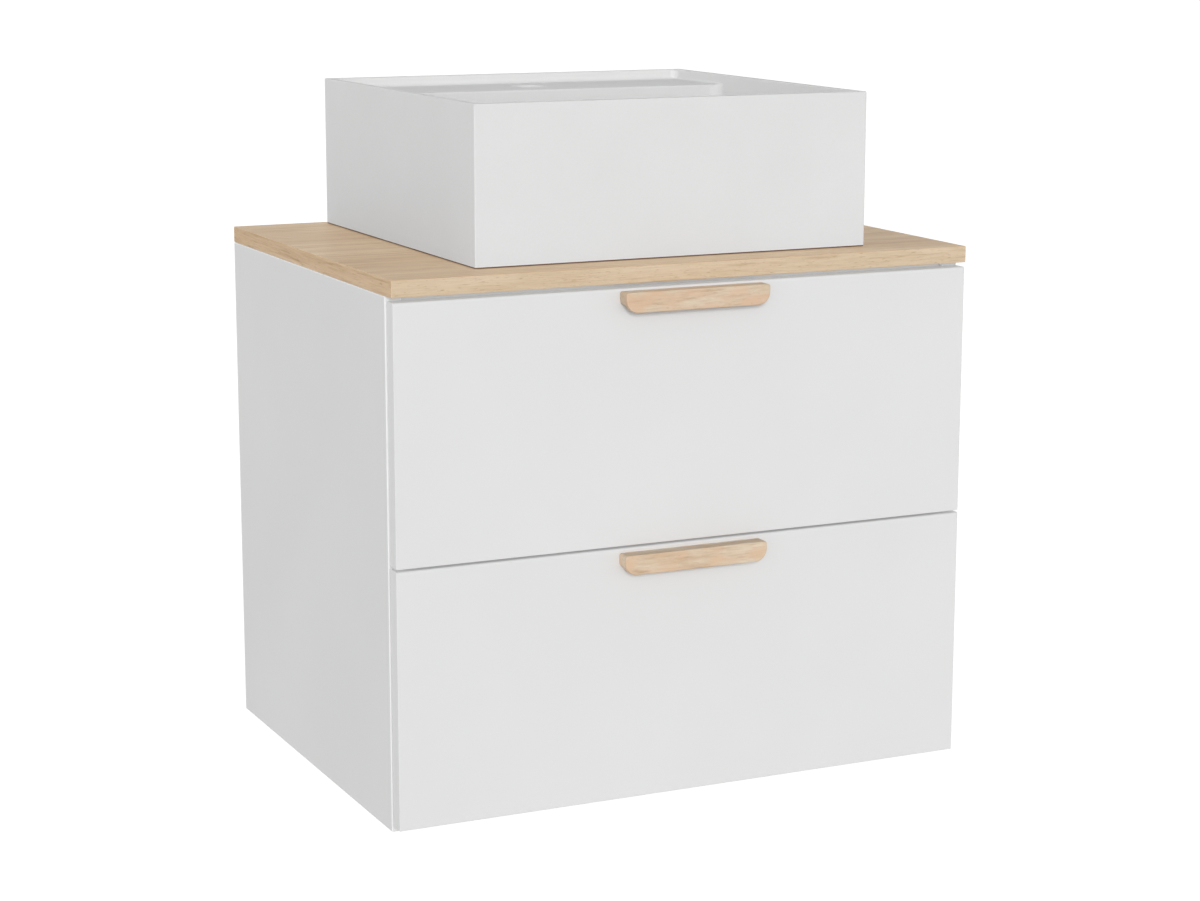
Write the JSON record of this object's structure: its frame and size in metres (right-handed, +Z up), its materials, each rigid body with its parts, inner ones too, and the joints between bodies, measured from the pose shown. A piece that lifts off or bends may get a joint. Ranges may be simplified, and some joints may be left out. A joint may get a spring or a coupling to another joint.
{
  "type": "vessel sink on vanity",
  "caption": "Wall-hung white drawer vanity with a light oak-look worktop, wooden bar grips and a square white vessel basin with a lowered tap deck.",
  "frame": {"origin": "middle of the hanging rail's back face, on the wall plane, 66 mm below the worktop's top face", "axes": "+X to the right seen from the front, +Y out of the back face into the wall, +Z up"},
  "size_m": [0.6, 0.47, 0.6682],
  "materials": {
    "lacquer": "white matt lacquered board",
    "melamine": "white melamine-faced board",
    "oak_top": "light oak-look laminate, satin",
    "oak_grip": "solid light wood, satin oil",
    "basin": "white cast mineral, satin",
    "steel": "zinc-plated sheet",
    "chrome": "polished",
    "plastic": "white moulded",
    "rubber": "black",
    "gasket": "dark brown foam"
  },
  "bodies": {
    "cabinet": {"side_panel_left": "lacquer", "side_panel_right": "lacquer", "bottom_panel": "melamine", "front_rail": "melamine", "hanging_rail": "melamine", "lower_back_rail": "melamine", "cabinet_hanger_left": "steel", "wall_plate_left": "steel", "hanger_cover_left": "plastic", "cabinet_hanger_right": "steel", "wall_plate_right": "steel", "hanger_cover_right": "plastic", "upper_runner_outer_left": "steel", "upper_runner_outer_right": "steel", "lower_runner_outer_left": "steel", "lower_runner_outer_right": "steel", "worktop": "oak_top", "basin": "basin", "basin_gasket": "gasket", "waste_body": "chrome", "waste_seal_upper": "rubber", "waste_seal_lower": "rubber", "waste_nut": "plastic", "trap_tailpiece": "plastic", "trap_inlet_nut": "plastic", "trap_body": "plastic", "trap_cup": "plastic", "trap_outlet_nut": "plastic", "trap_outlet_pipe": "plastic", "wall_rosette": "plastic"},
    "waste_plug": {"waste_plug": "chrome"},
    "upper_drawer": {"upper_runner_inner_left": "steel", "upper_drawer_side_left": "melamine", "upper_handle_screw_left": "steel", "upper_runner_inner_right": "steel", "upper_drawer_side_right": "melamine", "upper_handle_screw_right": "steel", "upper_drawer_front": "lacquer", "upper_handle": "oak_grip", "upper_drawer_bottom": "melamine", "upper_drawer_back_left": "melamine", "upper_siphon_wall_left": "melamine", "upper_drawer_back_right": "melamine", "upper_siphon_wall_right": "melamine", "upper_siphon_wall_front": "melamine"},
    "lower_drawer": {"lower_runner_inner_left": "steel", "lower_drawer_side_left": "melamine", "lower_handle_screw_left": "steel", "lower_runner_inner_right": "steel", "lower_drawer_side_right": "melamine", "lower_handle_screw_right": "steel", "lower_drawer_front": "lacquer", "lower_handle": "oak_grip", "lower_drawer_bottom": "melamine", "lower_drawer_back": "melamine"},
    "upper_runner_mid": {"upper_runner_mid_left": "steel", "upper_runner_mid_right": "steel"},
    "lower_runner_mid": {"lower_runner_mid_left": "steel", "lower_runner_mid_right": "steel"}
  },
  "joints": [
    {"name": "upper_drawer_slide", "type": "slide", "parent": "cabinet", "child": "upper_drawer", "axis": [0, -1, 0], "range_m": [0, 0.4]},
    {"name": "lower_drawer_slide", "type": "slide", "parent": "cabinet", "child": "lower_drawer", "axis": [0, -1, 0], "range_m": [0, 0.4]},
    {"name": "upper_runner_mid_slide", "type": "slide", "parent": "cabinet", "child": "upper_runner_mid", "axis": [0, -1, 0], "range_m": [0, 0.2]},
    {"name": "lower_runner_mid_slide", "type": "slide", "parent": "cabinet", "child": "lower_runner_mid", "axis": [0, -1, 0], "range_m": [0, 0.2]},
    {"name": "waste_plug_slide", "type": "slide", "parent": "cabinet", "child": "waste_plug", "axis": [0, 0, 1], "range_m": [0, 0.007]}
  ],
  "couplings": [
    {"joint": "upper_runner_mid_slide", "follows": "upper_drawer_slide", "ratio": 0.5},
    {"joint": "lower_runner_mid_slide", "follows": "lower_drawer_slide", "ratio": 0.5}
  ]
}
